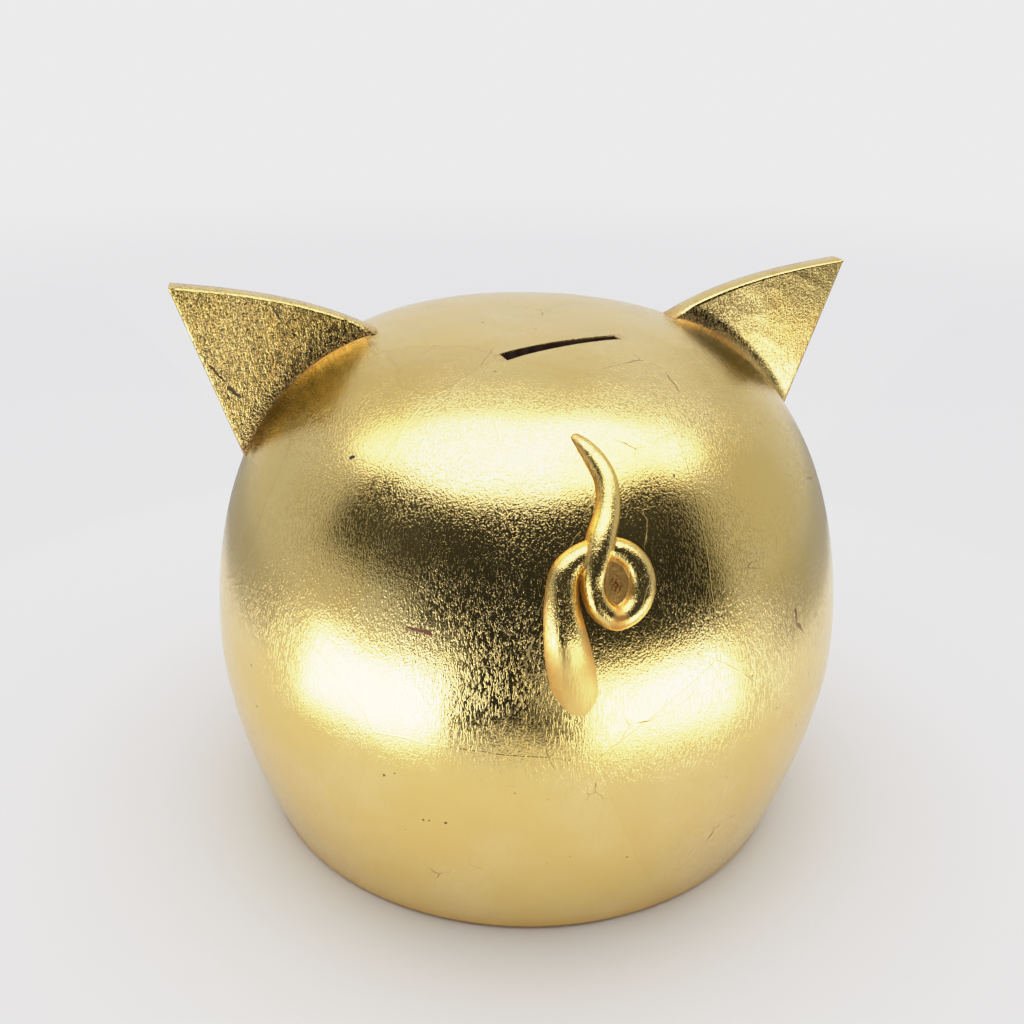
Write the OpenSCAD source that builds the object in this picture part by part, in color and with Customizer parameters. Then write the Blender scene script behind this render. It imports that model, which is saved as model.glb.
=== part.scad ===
// Ball-shaped pig money bank: two turned bowls glued at the widest line, slab ears on dowels,
// a curled tail in relief, a turned snout and eyes, and a rubber stopper in the base.
// Frame: +Z up, snout towards -Y, tail towards +Y, origin at the centre of the resting face.

/* [Body] */
// Width of the ball at its widest line
body_w = 210; // [190:1:230]
// Height of the widest line above the resting face
waist_z = 61.6; // [56:0.2:66]
// Height of the crown above the widest line
crown_h = 104.4; // [98:0.2:110]
// Squareness of the shoulders seen from the side, 2 is a true ellipse
shoulder = 3.5; // [2.4:0.1:4]
// Roundness of the top of the crown, 2 is a true ellipse
crown_round = 1.96; // [1.8:0.02:2.2]
// Depth below the widest line at which the lower curve would close
keel_h = 154.4; // [140:0.2:170]
// Wall thickness of both bowls
wall = 6; // [5:0.5:8]
// Thickness of the floor of the lower bowl
floor_t = 8; // [7:0.5:10]
// Radius of the rounded edge around the resting face
foot_r = 3.4; // [2:0.1:5]
// Height of the glued rebate that locates the upper bowl on the lower one
rebate_h = 6; // [4:0.5:9]

/* [Coin slot] */
// Length of the slot
slot_l = 39; // [34:0.5:44]
// Width of the slot
slot_w = 5; // [4.9:0.1:6]
// Distance of the slot from the middle, towards the tail
slot_y = 31; // [24:0.5:36]
// Sideways offset of the slot
slot_x = -1; // [-4:0.5:4]
// Angle between the slot and the line of the ears
slot_skew = 15; // [0:1:20]

/* [Ears] */
// Thickness of the ear boards
ear_t = 7.5; // [6:0.5:9]
// Face of the ear boards nearest the tail, measured from the middle
ear_y = -1.5; // [-4:0.5:4]
// Ear tip, distance from the middle
ear_tip_x = 109.5; // [100:0.5:114]
// Ear tip, height above the resting face
ear_tip_z = 179.5; // [172:0.5:186]
// Upper end of the ear's root, distance from the middle
ear_top_x = 48; // [42:0.5:54]
// Lower end of the ear's root, distance from the middle
ear_low_x = 92; // [88:0.5:95]
// Bulge of the ear's top edge
ear_bulge = 3.2; // [1:0.2:5]
// Diameter of the dowels in the ears
dowel_d = 4; // [3:0.5:4.5]

/* [Snout and eyes] */
// Diameter of the snout
snout_d = 50; // [42:1:54]
// How far the snout stands out from the ball
snout_out = 15; // [10:1:20]
// Height of the middle of the snout above the resting face
snout_z = 88; // [84:1:94]
// Diameter of a nostril
nostril_d = 7; // [5:0.5:9]
// Diameter of the snout's dowel
snout_dowel_d = 10; // [8:1:14]
// Diameter of an eye
eye_d = 10; // [8:0.5:12]
// Sideways distance of an eye from the middle
eye_x = 30; // [24:1:34]
// Height of an eye above the resting face
eye_z = 124; // [118:1:130]

/* [Stopper] */
// Diameter of the hole that the coins come out of
hole_d = 36; // [34:0.5:40]
// Diameter of the stopper's flange
flange_d = 46; // [44:0.5:50]
// Thickness of the stopper's flange
flange_t = 3; // [2:0.5:3.5]

/* [Hidden] */
$fn = 96;

body_r = body_w / 2;
body_top = waist_z + crown_h;
// Scale of the inner curves against the outer ones
inner = (body_r - wall) / body_r;
// Powers that shape the lower curve, along its height and across its width
keel_round = 1.55;
keel_side = 1.92;
// Straight pieces in each curve of the outline
curve_steps = 28;
// Gap left for glue round a dowel or a peg
glue = 0.05;
// How far a cutting shape reaches past the face that it cuts
poke = 1;

gold = [0.83, 0.68, 0.33];
bare_wood = [0.72, 0.56, 0.38];
black_rubber = [0.08, 0.08, 0.08];

// ---- the ball's outline ----

// Points of the crown's superellipse from the widest line to the top, at scale k
function crown(k, a0 = 0) = [for (i = [0 : curve_steps])
    let (a = a0 + (90 - a0) * i / curve_steps)
    [k * body_r * pow(cos(a), 2 / shoulder), waist_z + k * crown_h * pow(sin(a), 2 / crown_round)]];

// Radius of the lower curve at a height below the widest line, at scale k
function keel_r(z, k) = k * body_r * pow(1 - pow((waist_z - z) / (k * keel_h), keel_round), 1 / keel_side);

// Points of the lower curve between two heights, at scale k
function keel(z0, z1, k) = [for (i = [0 : curve_steps])
    let (z = z0 + (z1 - z0) * i / curve_steps) [keel_r(z, k), z]];

// Radius of the crown at a height above the widest line
function crown_r(z) = body_r * pow(1 - pow((z - waist_z) / crown_h, crown_round), 1 / shoulder);

// Height of the crown at a distance from the middle
function crown_z(r) = waist_z + crown_h * pow(1 - pow(r / body_r, shoulder), 1 / crown_round);

// Rounded edge between the resting face and the lower curve
foot_steps = 6;
foot_base_r = keel_r(foot_r, 1) - foot_r;
function foot() = [for (i = [0 : foot_steps - 1])
    let (a = -90 + 90 * i / foot_steps) [foot_base_r + foot_r * cos(a), foot_r + foot_r * sin(a)]];

// The whole ball as one solid, which the parts that lie on it are cut by
module ball() {
    rotate_extrude()
        polygon(concat([[0, 0]], foot(), keel(foot_r, waist_z, 1), crown(1)));
}

// ---- bowls ----

rebate_r = body_r - wall / 2;
rebate_top = waist_z + rebate_h;
// Room round the stopper's flange and under it, so that the bank stands on its own base
flange_room = 1.5;
recess_r = flange_d / 2 + flange_room;
recess_h = flange_t + flange_room;
notch_r = 9;

// Angle at which the inner crown curve starts, just above the rebate
rebate_a = asin(pow(rebate_h / (inner * crown_h), crown_round / 2));

module upper_bowl() {
    rotate_extrude()
        polygon(concat(
            crown(1),
            [for (i = [0 : curve_steps]) crown(inner, rebate_a)[curve_steps - i]],
            [[rebate_r, rebate_top], [rebate_r, waist_z]]));
}

// Height of the slot's cutting shape, enough for the wall where the crown falls away
slot_cut_h = 24;

module slot_cut() {
    translate([slot_x, slot_y, body_top + wall - slot_cut_h])
        rotate(slot_skew)
            translate([-slot_l / 2, -slot_w / 2, 0])
                cube([slot_l, slot_w, slot_cut_h]);
}

module upper_shell() {
    color(gold)
        difference() {
            upper_bowl();
            slot_cut();
            ear_dowel_pair(dowel_d / 2 + glue);
            mirror([1, 0, 0]) ear_dowel_pair(dowel_d / 2 + glue);
            snout_peg(snout_dowel_d / 2 + glue);
            eye_peg(1, glue);
            eye_peg(-1, glue);
        }
}

module lower_shell() {
    color(gold)
        difference() {
            rotate_extrude()
                polygon(concat(
                    [[recess_r, 0]],
                    foot(),
                    keel(foot_r, waist_z, 1),
                    [[rebate_r, waist_z], [rebate_r, rebate_top], [inner * body_r, rebate_top]],
                    keel(waist_z, floor_t, inner),
                    [[hole_d / 2, floor_t], [hole_d / 2, recess_h], [recess_r, recess_h]]));
            finger_notch();
        }
}

// Finger notch at the edge of the recess, to get a nail under the stopper's flange
module finger_notch() {
    translate([recess_r, 0, -poke])
        cylinder(h = recess_h + poke, r = notch_r);
}

// ---- ears ----

ear_root_top = [ear_top_x, crown_z(ear_top_x)];
ear_root_low = [ear_low_x, crown_z(ear_low_x)];
ear_tip = [ear_tip_x, ear_tip_z];
ear_root_len = norm(ear_root_low - ear_root_top);
ear_root_dir = (ear_root_low - ear_root_top) / ear_root_len;
ear_out_dir = [-ear_root_dir.y, ear_root_dir.x];
ear_edge_steps = 12;
// How far the board starts out below the ball's surface, before the ball is cut away from it
tongue = 14;

// Top edge from the root to the tip, bulging upwards as a parabola
function ear_edge() = [for (i = [0 : ear_edge_steps])
    let (s = i / ear_edge_steps,
         across = ear_tip - ear_root_top,
         up = [-across.y, across.x] / norm(across))
    ear_root_top + s * across + 4 * s * (1 - s) * ear_bulge * up];

module ear_board() {
    translate([0, ear_y, 0])
        rotate([90, 0, 0])
            linear_extrude(ear_t)
                polygon(concat(ear_edge(),
                    [ear_root_low,
                     ear_root_low - tongue * ear_out_dir,
                     ear_root_top - tongue * ear_out_dir]));
}

// Reach of an ear dowel into the bowl and into the ear
dowel_in = 7;
dowel_out = 12;
// Places of the dowels along the root
dowel_places = [0.32, 0.68];

// Two dowels across the glue line of an ear, square to its root
module ear_dowel_pair(r) {
    for (s = dowel_places)
        let (p = ear_root_top + s * ear_root_len * ear_root_dir,
             lean = atan2(ear_out_dir.x, ear_out_dir.y),
             rise = crown_z(p.x) - p.y)
        translate([p.x, ear_y - ear_t / 2, p.y])
            rotate([0, lean, 0])
                translate([0, 0, rise * cos(lean) - dowel_in])
                    cylinder(h = dowel_in + dowel_out, r = r);
}

module ear() {
    difference() {
        ear_board();
        ball();
        ear_dowel_pair(dowel_d / 2 + glue);
    }
}

module ear_left() { color(gold) mirror([1, 0, 0]) ear(); }
module ear_right() { color(gold) ear(); }
module ear_left_dowels() { color(bare_wood) mirror([1, 0, 0]) ear_dowel_pair(dowel_d / 2); }
module ear_right_dowels() { color(bare_wood) ear_dowel_pair(dowel_d / 2); }

// ---- tail ----

// Centre line of the tail: [x, height, height above the ball, strand radius].
// It rises from the root, loops round behind itself, crosses in front and ends in a tip.
tail_back = [
    [13.5, 80, -13, 11], [13.6, 86, -11.4, 11], [14, 92, -9.2, 10], [14.8, 98.5, -7, 8.8],
    [15.8, 107, -3.2, 6.2], [16.2, 115.5, -1.4, 4.7], [14.8, 122.2, -0.5, 3.9], [10.5, 126.1, 0, 3.1],
    [5, 127.6, -0.1, 2.8], [-0.5, 126.8, -0.1, 3.1], [-4.4, 123.3, -0.3, 3.6], [-5.5, 117.8, -0.5, 3.8],
    [-2.9, 113, -0.3, 3.6], [2, 110.8, 0, 3.2]];
tail_front = [
    [2, 110.8, 0, 3.2], [6.3, 113.7, 0.5, 3], [7.8, 118.7, 1.1, 2.9], [7, 124, 1.8, 3.2],
    [4.8, 129.4, 1.6, 3.4], [2.2, 134.8, 0.8, 3.2], [1, 139.4, 0.6, 3], [1.1, 143.3, 0.3, 3],
    [2.8, 147, 0, 2.8], [4.8, 149.6, -0.3, 2.2], [6.4, 151.2, -0.8, 1.5]];
// Steps between two rows of the list, and flats round a strand
tail_sub = 4;
tail_sides = 10;
// Facets round the ball that the tail is cut by, so that the two lie on each other closely
tail_seat_fn = 300;

// Catmull-Rom point between rows i and i+1 of a list
function spline_at(p, i, t) = let (
    n = len(p) - 1,
    a = p[max(i - 1, 0)], b = p[i], c = p[min(i + 1, n)], d = p[min(i + 2, n)])
    0.5 * (2 * b + t * (c - a) + t * t * (2 * a - 5 * b + 4 * c - d) + t * t * t * (3 * b - a - 3 * c + d));

function spline(p) = concat(
    [for (i = [0 : len(p) - 2], k = [0 : tail_sub - 1]) spline_at(p, i, k / tail_sub)],
    [p[len(p) - 1]]);

function unit(v) = v / norm(v);

// A row of the tail's list as a point in space
function tail_point(q) = [q[0], sqrt(pow(crown_r(q[1]), 2) - q[0] * q[0]) + q[2], q[1]];

module strand(list) {
    rows = spline(list);
    pts = [for (q = rows) tail_point(q)];
    n = len(pts);
    rings = [for (i = [0 : n - 1])
        let (along = unit(pts[min(i + 1, n - 1)] - pts[max(i - 1, 0)]),
             side = unit(cross(along, [pts[i].x, pts[i].y, 0])),
             out = cross(side, along))
        for (k = [0 : tail_sides - 1])
            let (a = 360 * k / tail_sides)
            pts[i] + rows[i][3] * (cos(a) * side + sin(a) * out)];
    last = (n - 1) * tail_sides;
    faces = concat(
        [for (k = [1 : tail_sides - 2]) [0, k + 1, k]],
        [for (k = [1 : tail_sides - 2]) [last, last + k, last + k + 1]],
        [for (i = [0 : n - 2], k = [0 : tail_sides - 1])
            let (k2 = (k + 1) % tail_sides, lo = i * tail_sides, hi = lo + tail_sides)
            each [[lo + k, hi + k2, hi + k], [lo + k, lo + k2, hi + k2]]]);
    polyhedron(rings, faces);
}

module tail() {
    color(gold)
        difference() {
            union() {
                strand(tail_back);
                strand(tail_front);
            }
            ball($fn = tail_seat_fn);
        }
}

// ---- snout and eyes ----

snout_front = body_r + snout_out;
// Radius of the snout's rounded front edge
snout_edge = 3;
// How far the drum starts out behind the ball's widest radius
snout_sink = 12;
// The drum flares by this much at the ball, and is at its narrowest this far behind the widest radius
snout_flare = 1;
snout_waist = 2;
nostril_x = 9;
nostril_deep = 5;
snout_dowel_l = 26;
// Wood left in front of the snout's dowel
snout_face = 8;

// Turned with its axis along -Y: a waisted drum with rounded edges
module snout_drum() {
    r = snout_d / 2;
    translate([0, 0, snout_z])
        rotate([90, 0, 0])
            rotate_extrude()
                polygon(concat(
                    [[0, body_r - snout_sink],
                     [r + snout_flare, body_r - snout_sink],
                     [r, body_r - snout_waist]],
                    [for (a = [0 : 15 : 90])
                        [r - snout_edge * (1 - cos(a)), snout_front - snout_edge * (1 - sin(a))]],
                    [[0, snout_front]]));
}

module snout_peg(r) {
    translate([0, -(snout_front - snout_face), snout_z])
        rotate([-90, 0, 0])
            cylinder(h = snout_dowel_l, r = r);
}

module snout() {
    color(gold)
        difference() {
            snout_drum();
            ball();
            snout_peg(snout_dowel_d / 2 + glue);
            for (side = [-1, 1])
                translate([side * nostril_x, -(snout_front - nostril_deep), snout_z])
                    rotate([90, 0, 0])
                        cylinder(h = nostril_deep + poke, d = nostril_d);
        }
}

module snout_dowel() { color(bare_wood) snout_peg(snout_dowel_d / 2); }

// Each eye is a turned button with a peg, set square to the ball
eye_r_at = crown_r(eye_z);
eye_turn = asin(eye_x / eye_r_at);
// Lean of the surface where the eyes sit
eye_tilt = 26;
eye_peg_d = 4;
eye_peg_l = 5;
// Height of the button above its seat, and depth to which it is bedded before the ball is cut away
eye_rise = 3;
eye_bed = 2;

module eye_place(side) {
    rotate(side * eye_turn)
        translate([0, -eye_r_at, eye_z])
            rotate([90 - eye_tilt, 0, 0])
                children();
}

module eye_peg(side, gap) {
    eye_place(side)
        translate([0, 0, -eye_peg_l - gap])
            cylinder(h = eye_peg_l + eye_rise / 2, r = eye_peg_d / 2 + gap);
}

module eye_button(side) {
    cap_r = (pow(eye_d / 2, 2) + eye_rise * eye_rise) / (2 * eye_rise);
    difference() {
        eye_place(side)
            intersection() {
                translate([0, 0, eye_rise - cap_r]) sphere(r = cap_r);
                translate([0, 0, -eye_bed]) cylinder(h = eye_bed + eye_rise + poke, d = eye_d);
            }
        ball();
    }
    eye_peg(side, 0);
}

module eye_left() { color(gold) eye_button(-1); }
module eye_right() { color(gold) eye_button(1); }

// ---- stopper ----

// Gap between the ribs and the hole
fit_gap = 0.08;
plug_r = hole_d / 2 - fit_gap;
// The plug is thinner than the hole between its ribs
neck_r = hole_d / 2 - 1.2;
// Each rib: gap before it, slope of its two sides, height of its flat, and the step from rib to rib
rib_gap = 0.8;
rib_slope = 0.3;
rib_flat = 1.3;
rib_step = 3.2;
ribs = 3;
// Wall and floor of the hollow plug
plug_wall = 5;
plug_floor = 1;
plug_h = ribs * rib_step + plug_floor;
dish_r = hole_d / 2 - plug_wall;
// Width of the bar across the hollow
grip_w = 3;
// Chamfer on the flange's lower edge
flange_chamfer = 0.8;

// Outline of one rib as [radius, height above the rib's start]
rib_profile = [
    [neck_r, rib_gap],
    [plug_r, rib_gap + rib_slope],
    [plug_r, rib_gap + rib_slope + rib_flat],
    [neck_r, rib_gap + 2 * rib_slope + rib_flat]];

// Rubber bung: a flange in the recess, a ribbed plug and a hollow back
module stopper() {
    flange_z = recess_h - flange_t;
    flange_r = flange_d / 2;
    plug_top = recess_h + plug_h;
    color(black_rubber)
        union() {
            rotate_extrude()
                polygon(concat(
                    [[0, flange_z],
                     [flange_r - flange_chamfer, flange_z], [flange_r, flange_z + flange_chamfer],
                     [flange_r, recess_h], [neck_r, recess_h]],
                    [for (i = [0 : ribs - 1], p = rib_profile) [p[0], recess_h + i * rib_step + p[1]]],
                    [[neck_r, plug_top], [dish_r, plug_top], [dish_r, recess_h + plug_floor],
                     [0, recess_h + plug_floor]]));
            translate([-dish_r, -grip_w / 2, recess_h])
                cube([2 * dish_r, grip_w, plug_h / 2]);
        }
}

upper_shell();
lower_shell();
ear_left();
ear_right();
ear_left_dowels();
ear_right_dowels();
tail();
snout();
snout_dowel();
eye_left();
eye_right();
stopper();
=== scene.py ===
"""Looks of a ball-shaped pig money bank: gold leaf on two turned bowls, slab ears, a relief tail and a snout.

Every length is in metres in the CAD frame: snout towards -Y, tail towards +Y, +Z up, floor at zero.
"""
import math

import bmesh
import bpy
import numpy as np
from mathutils import Matrix, Vector


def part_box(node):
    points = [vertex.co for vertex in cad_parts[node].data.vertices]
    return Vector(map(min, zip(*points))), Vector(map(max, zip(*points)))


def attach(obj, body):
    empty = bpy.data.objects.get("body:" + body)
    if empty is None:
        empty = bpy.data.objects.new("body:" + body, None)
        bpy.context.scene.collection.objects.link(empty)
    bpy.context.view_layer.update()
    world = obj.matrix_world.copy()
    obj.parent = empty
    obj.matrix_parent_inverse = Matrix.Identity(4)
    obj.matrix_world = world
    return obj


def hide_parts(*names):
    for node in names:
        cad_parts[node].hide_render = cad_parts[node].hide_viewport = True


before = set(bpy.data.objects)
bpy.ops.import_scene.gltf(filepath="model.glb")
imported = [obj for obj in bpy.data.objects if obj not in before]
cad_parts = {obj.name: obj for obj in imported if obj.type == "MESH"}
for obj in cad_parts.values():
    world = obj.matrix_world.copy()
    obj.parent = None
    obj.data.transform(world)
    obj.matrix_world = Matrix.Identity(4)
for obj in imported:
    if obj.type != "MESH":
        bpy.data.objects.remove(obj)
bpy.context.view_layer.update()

MM = 0.001
SEED = 7

# ---- the ball, taken from the frame ----

shell_low, shell_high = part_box("upper_shell")
WAIST_Z = shell_low.z
CROWN_H = shell_high.z - WAIST_Z
BALL_R = 0.5 * (shell_high.x - shell_low.x)
SHOULDER, CROWN_ROUND = 3.5, 1.96
KEEL_H, KEEL_ROUND, KEEL_SIDE = 154.4 * MM, 1.55, 1.92
FOOT_R = 3.4 * MM
FOOT_FADE = 8 * MM  # height over which the unevenness grows above the foot
WALL = 6 * MM
REBATE_H = 6 * MM
FLOOR_Z = 8 * MM
RECESS_R, HOLE_R, RECESS_H, NOTCH_R = 24.5 * MM, 18 * MM, 4.5 * MM, 9 * MM


def ball_radius(z):
    """Radius of the ball at height z."""
    up = np.clip((z - WAIST_Z) / CROWN_H, 0, 1)
    down = np.clip((WAIST_Z - z) / KEEL_H, 0, 1)
    crown = (1 - up ** CROWN_ROUND) ** (1 / SHOULDER)
    keel = (1 - down ** KEEL_ROUND) ** (1 / KEEL_SIDE)
    return BALL_R * np.where(z > WAIST_Z, crown, keel)


def outline(z_from, z_to, step):
    """Points (r, z) along the ball's outline, evenly spaced along its length."""
    t = np.linspace(0, 1, 4001)
    z = z_from + (z_to - z_from) * (1 - (1 - t) ** 2 if z_to > WAIST_Z else t)
    r = ball_radius(z)
    along = np.concatenate([[0], np.cumsum(np.hypot(np.diff(r), np.diff(z)))])
    even = np.linspace(0, along[-1], max(int(along[-1] / step), 2) + 1)
    return np.column_stack([np.interp(even, along, r), np.interp(even, along, z)])


def outline_normals(line):
    """Outward unit normals (r, z) of an outline that runs upwards."""
    d = np.gradient(line, axis=0)
    n = np.column_stack([d[:, 1], -d[:, 0]])
    return n / np.linalg.norm(n, axis=1)[:, None]


# ---- hand-made unevenness, the same function for every gilded surface ----

def waves(count, short, long, size, seed):
    """Random plane waves as (direction times wave number, phase, height)."""
    rng = np.random.default_rng(seed)
    way = rng.normal(size=(count, 3))
    way /= np.linalg.norm(way, axis=1)[:, None]
    length = rng.uniform(short, long, count)
    height = size * rng.uniform(0.5, 1, count)
    return way * (2 * math.pi / length)[:, None], rng.uniform(0, 2 * math.pi, count), height


def wave_height(points, wave):
    """Sum of the waves at each point."""
    vectors, phases, heights = wave
    return np.sin(points @ vectors.T + phases) @ heights


# waves in the turned surface that bend reflections, and finer ones in the ground under the leaf
BROAD = waves(7, 55 * MM, 120 * MM, 0.075 * MM, SEED)
FINE = waves(14, 13 * MM, 28 * MM, 0.012 * MM, SEED + 1)
LEAF_INSET = 0.15 * MM


def uneven(points):
    """Height of the gilded surface over the turned one, set in a little so that it stays inside the frame."""
    return wave_height(points, BROAD) + wave_height(points, FINE) - LEAF_INSET


# ---- ears and slot, where they meet the ball ----

ear_low, ear_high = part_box("ear_right")
EAR_Y = 0.5 * (ear_low.y + ear_high.y)
EAR_T = ear_high.y - ear_low.y
EAR_TIP = np.array([ear_high.x, ear_high.z])
EAR_TOP_X = ear_low.x
EAR_LOW_X = 92 * MM
EAR_BULGE = 3.2 * MM
FILLET = 7 * MM
FILLET_LEAN = 0.62  # how steeply the filler meets the ear, 1 for a quarter circle
FILLET_END = 4 * MM  # how far from the root's ends the filler starts to fade
ROOT_FILLER, ROOT_FILLER_H = 1.5 * MM, 7 * MM  # filler on the ear's own faces: thickness and height

SLOT_AT = np.array([-1 * MM, 31 * MM])
SLOT_TURN = math.radians(15)
SLOT_L, SLOT_W = 39 * MM, 5 * MM
SLOT_NARROW = 0.68  # width of the slot's -X end over that of its +X end
SLOT_BOW = 0.9 * MM
# in millimetres: depth below the surface and how far the slot's mouth has opened out there
SLOT_MOUTH = ((14, 0), (0.6, 0), (0.22, 0.05), (0.03, 0.20), (-0.2, 0.6), (-2, 2.0))


def crown_height(r):
    """Height of the ball's top side at distance r from its axis."""
    return WAIST_Z + CROWN_H * (1 - np.clip(r / BALL_R, 0, 1) ** SHOULDER) ** (1 / CROWN_ROUND)


def ear_root(side):
    """The two ends of the line where an ear's middle plane meets the ball."""
    top = np.array([side * EAR_TOP_X, EAR_Y, crown_height(EAR_TOP_X)])
    low = np.array([side * EAR_LOW_X, EAR_Y, crown_height(EAR_LOW_X)])
    return top, low


def fillet_height(points):
    """The soft filler round the root of each ear, as a height above the ball."""
    height = np.zeros(len(points))
    for side in (-1, 1):
        top, low = ear_root(side)
        length = np.linalg.norm(low - top)
        along = (points - top) @ (low - top) / length
        past = np.maximum(np.maximum(FILLET_END - along, along - length + FILLET_END), 0)
        beside = np.maximum(np.abs(points[:, 1] - EAR_Y) - 0.5 * EAR_T, 0)
        off = np.where(points[:, 0] * side > 0, np.hypot(past, beside), 1)
        lean = FILLET_LEAN * np.clip(1 - off / FILLET, 0, 1)
        height = np.maximum(height, FILLET * (1 - np.sqrt(1 - lean ** 2)))
    return height


def slot_frame(points):
    """Points in the slot's own axes: along it and across it."""
    c, s = math.cos(SLOT_TURN), math.sin(SLOT_TURN)
    d = points[:, :2] - SLOT_AT
    return d[:, 0] * c + d[:, 1] * s, d[:, 1] * c - d[:, 0] * s


# ---- mesh helpers ----

def new_object(name, verts, faces, smooth=True):
    """A linked object with its normals turned outwards."""
    mesh = bpy.data.meshes.new(name)
    mesh.from_pydata([tuple(v) for v in verts], [], [tuple(f) for f in faces])
    mesh.validate()
    bm = bmesh.new()
    bm.from_mesh(mesh)
    bmesh.ops.recalc_face_normals(bm, faces=bm.faces)
    bm.to_mesh(mesh)
    bm.free()
    mesh.shade_smooth() if smooth else mesh.shade_flat()
    obj = bpy.data.objects.new(name, mesh)
    bpy.context.scene.collection.objects.link(obj)
    return obj


def coordinates(obj):
    """The object's vertices as an array."""
    co = np.zeros(len(obj.data.vertices) * 3)
    obj.data.vertices.foreach_get("co", co)
    return co.reshape(-1, 3)


def set_mask(obj, name, values):
    """A number for each vertex, which the materials read."""
    layer = obj.data.attributes.get(name) or obj.data.attributes.new(name, "FLOAT", "POINT")
    layer.data.foreach_set("value", np.clip(values, 0, 1).astype(np.float32))


def sharpen(obj, angle):
    """Marks edges sharper than angle as creases for shading."""
    obj.data.set_sharp_from_angle(angle=math.radians(angle))


def lathe(profile, columns, closed=True):
    """Vertices and faces of a profile of (r, z) turned about Z. Points on the axis become one vertex."""
    turn = np.linspace(0, 2 * math.pi, columns, endpoint=False)
    verts, rings = [], []
    for r, z in profile:
        if r < 1e-6:
            rings.append([len(verts)])
            verts.append((0, 0, z))
        else:
            rings.append(range(len(verts), len(verts) + columns))
            verts.extend(zip(r * np.cos(turn), r * np.sin(turn), [z] * columns))
    faces = []
    pairs = list(zip(rings, rings[1:])) + ([(rings[-1], rings[0])] if closed else [])
    for low, high in pairs:
        for i in range(columns):
            j = (i + 1) % columns
            if len(low) == 1 and len(high) == 1:
                continue
            if len(low) == 1:
                faces.append((low[0], high[j], high[i]))
            elif len(high) == 1:
                faces.append((low[i], low[j], high[0]))
            else:
                faces.append((low[i], low[j], high[j], high[i]))
    return np.array(verts, float), faces


def loft_faces(rings, points):
    """Faces of a closed solid through rings of as many points each, with a cap at each end."""
    faces = [tuple(range(points)), tuple(range((rings - 1) * points, rings * points))[::-1]]
    for low in range(0, (rings - 1) * points, points):
        high = low + points
        for i in range(points):
            j = (i + 1) % points
            faces.append((low + i, low + j, high + j, high + i))
    return faces


def cut(obj, cutter):
    """Takes cutter away from obj and deletes it."""
    mod = obj.modifiers.new("cut", "BOOLEAN")
    mod.operation = "DIFFERENCE"
    mod.solver = "EXACT"
    mod.object = cutter
    apply_modifiers(obj)
    bpy.data.objects.remove(cutter)


def apply_modifiers(obj):
    """Makes the modified mesh the object's own."""
    bpy.context.view_layer.update()
    graph = bpy.context.evaluated_depsgraph_get()
    mesh = bpy.data.meshes.new_from_object(obj.evaluated_get(graph))
    obj.modifiers.clear()
    obj.data = mesh


# ---- node helpers ----

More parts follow.
